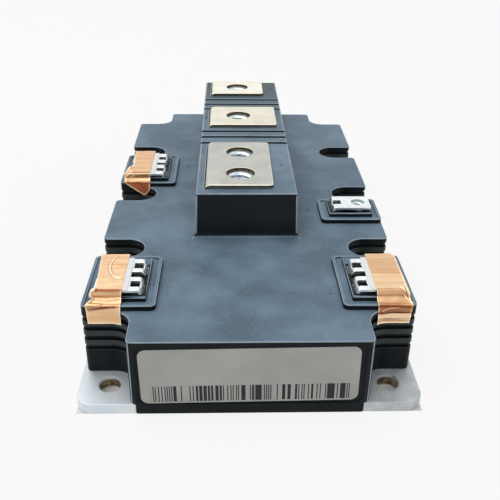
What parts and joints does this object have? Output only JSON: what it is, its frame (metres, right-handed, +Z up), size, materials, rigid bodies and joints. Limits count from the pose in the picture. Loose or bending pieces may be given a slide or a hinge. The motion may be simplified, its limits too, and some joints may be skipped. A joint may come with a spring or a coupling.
{
  "type": "igbt module",
  "caption": "Half-bridge power transistor module: nickel-plated baseplate, dark moulded housing, raised block of screw terminals, and small folded auxiliary tabs shorted by copper tape.",
  "frame": {"origin": "centre of the baseplate's underside", "axes": "+X across the module, +Y along it away from the label end, +Z up from the baseplate"},
  "size_m": [0.089, 0.172, 0.038],
  "materials": {
    "nickel_plate": "nickel-plated copper, bright satin",
    "housing_plastic": "fine satin, slate black",
    "adhesive": "cured silicone",
    "terminal_nickel": "nickel-plated copper, satin",
    "zinc_steel": "zinc-plated steel, bright",
    "tab_tin": "tin-plated copper, bright",
    "copper_foil": "bare copper foil, creased",
    "label_film": "satin printed film",
    "substrate_ceramic": "fired alumina",
    "track_copper": "bare copper",
    "silicon": "metallised silicon",
    "bond_aluminium": "drawn wire",
    "thermistor_body": "fired body"
  },
  "bodies": {
    "root": {"adhesive_bead": "adhesive", "aux_tab_back_left_1": "tab_tin", "aux_tab_back_left_2": "tab_tin", "aux_tab_front_left_1": "tab_tin", "aux_tab_front_left_2": "tab_tin", "aux_tab_front_right_1": "tab_tin", "aux_tab_front_right_2": "tab_tin", "aux_tab_middle_right_1": "tab_tin", "baseplate": "nickel_plate", "bond_wires_1": "bond_aluminium", "bond_wires_2": "bond_aluminium", "bond_wires_3": "bond_aluminium", "bond_wires_4": "bond_aluminium", "ceramic_1": "substrate_ceramic", "ceramic_2": "substrate_ceramic", "ceramic_3": "substrate_ceramic", "ceramic_4": "substrate_ceramic", "copper_tracks_1": "track_copper", "copper_tracks_2": "track_copper", "copper_tracks_3": "track_copper", "copper_tracks_4": "track_copper", "diode_chips_1": "silicon", "diode_chips_2": "silicon", "diode_chips_3": "silicon", "diode_chips_4": "silicon", "housing": "housing_plastic", "igbt_chips_1": "silicon", "igbt_chips_2": "silicon", "igbt_chips_3": "silicon", "igbt_chips_4": "silicon", "label": "label_film", "m4_nut_back_left_1": "zinc_steel", "m4_nut_back_left_2": "zinc_steel", "m4_nut_front_left_1": "zinc_steel", "m4_nut_front_left_2": "zinc_steel", "m4_nut_front_right_1": "zinc_steel", "m4_nut_front_right_2": "zinc_steel", "m4_nut_middle_right_1": "zinc_steel", "m8_nut_ac_1": "zinc_steel", "m8_nut_ac_2": "zinc_steel", "m8_nut_minus": "zinc_steel", "m8_nut_plus": "zinc_steel", "shorting_tape_back_left": "copper_foil", "shorting_tape_front_left": "copper_foil", "shorting_tape_front_right": "copper_foil", "terminal_ac": "terminal_nickel", "terminal_minus": "terminal_nickel", "terminal_plus": "terminal_nickel", "thermistor": "thermistor_body"}
  },
  "joints": []
}
